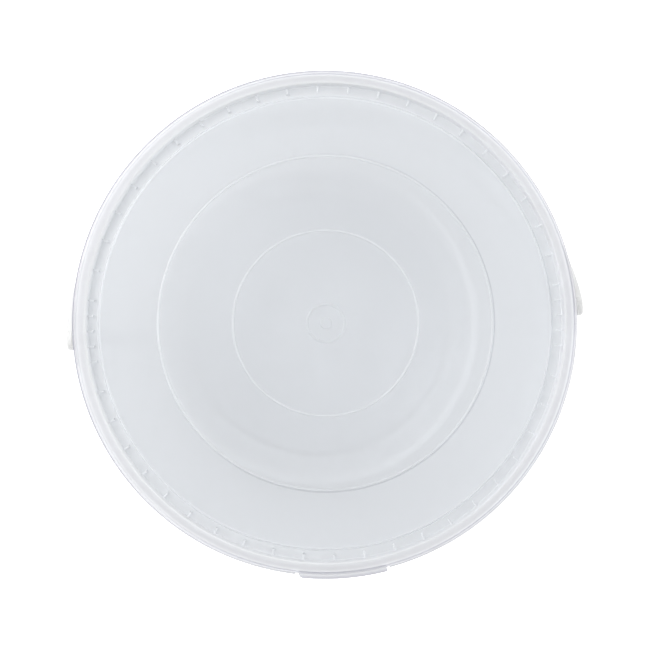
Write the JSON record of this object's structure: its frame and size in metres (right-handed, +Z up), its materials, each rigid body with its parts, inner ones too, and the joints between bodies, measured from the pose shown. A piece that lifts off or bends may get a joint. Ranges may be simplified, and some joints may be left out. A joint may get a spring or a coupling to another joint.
{
  "type": "fermenting bucket",
  "caption": "Round tapered plastic fermenting bucket with a press-on lid, an opening tab in the lid's skirt, a sealing ring and a swinging bail handle.",
  "frame": {"origin": "centre of the underside, in the plane of the surface that the bucket stands on", "axes": "+Z up; X along the handle's pivot line, +X to the right as seen from the opening tab; -Y towards the opening tab, +Y to the side where the handle hangs"},
  "size_m": [0.3982, 0.3822, 0.362],
  "materials": {
    "bucket_plastic": "translucent natural polypropylene, faintly textured outside",
    "lid_plastic": "translucent natural polypropylene, satin gloss",
    "handle_plastic": "opaque white polypropylene, satin gloss",
    "seal": "soft milky thermoplastic elastomer"
  },
  "bodies": {
    "bucket": {"bucket_body": "bucket_plastic"},
    "handle": {"bail_handle": "handle_plastic"},
    "lid": {"lid": "lid_plastic", "lid_gasket": "seal"},
    "tab": {"opening_tab": "lid_plastic"}
  },
  "joints": [
    {"name": "handle_swing", "type": "hinge", "parent": "bucket", "child": "handle", "pos_m": [0, 0, 0.322], "axis": [1, 0, 0], "range_deg": [0, 251]},
    {"name": "lid_lift", "type": "slide", "parent": "bucket", "child": "lid", "axis": [0, 0, 1], "range_m": [0, 0.15]},
    {"name": "tab_flex", "type": "hinge", "parent": "lid", "child": "tab", "pos_m": [0, -0.1876, 0.3591], "axis": [-1, 0, 0], "range_deg": [0, 40], "stiffness_Nm_per_rad": 0.05}
  ]
}
